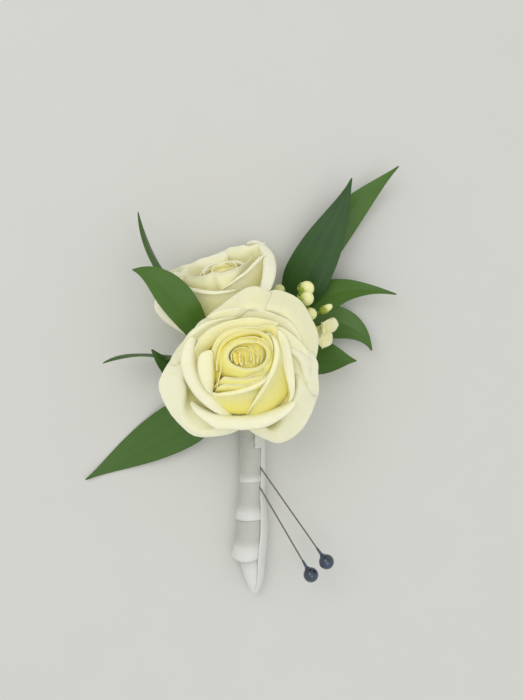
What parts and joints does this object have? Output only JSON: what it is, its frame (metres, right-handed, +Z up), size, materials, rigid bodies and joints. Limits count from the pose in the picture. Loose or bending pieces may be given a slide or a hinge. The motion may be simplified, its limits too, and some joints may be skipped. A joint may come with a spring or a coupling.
{
  "type": "boutonniere",
  "caption": "Rose boutonniere lying on its back: cream spray roses, ruscus leaves and filler buds bound in tape, wrapped in white satin ribbon and held with pearl-headed pins.",
  "frame": {"origin": "middle of the lowest face of the bounding box of the boutonniere as it lies on its back", "axes": "+Z up out of the front of the flowers, +Y from the ribboned handle to the leaf tips, +X to the right as seen from the front"},
  "size_m": [0.107, 0.1452, 0.045],
  "materials": {
    "rose_petals": "satin",
    "rose_green": "satin",
    "ruscus_leaf": "satin",
    "filler_bud": "satin",
    "filler_petals": "satin",
    "floral_tape": "matte",
    "satin_ribbon": "satin",
    "pin_steel": "polished",
    "pin_pearl": "gloss"
  },
  "bodies": {
    "root": {"rose_front_bloom": "rose_petals", "rose_back_bloom": "rose_petals", "rose_front_stem": "rose_green", "rose_back_stem": "rose_green", "ruscus_sprig_top_right": "ruscus_leaf", "ruscus_sprig_right": "ruscus_leaf", "ruscus_sprig_top_left": "ruscus_leaf", "ruscus_sprig_left": "ruscus_leaf", "filler_spray": "filler_bud", "filler_blossom": "filler_petals", "stem_tape": "floral_tape", "satin_ribbon": "satin_ribbon", "pin_upper_shaft": "pin_steel", "pin_upper_head": "pin_pearl", "pin_lower_shaft": "pin_steel", "pin_lower_head": "pin_pearl"}
  },
  "joints": []
}
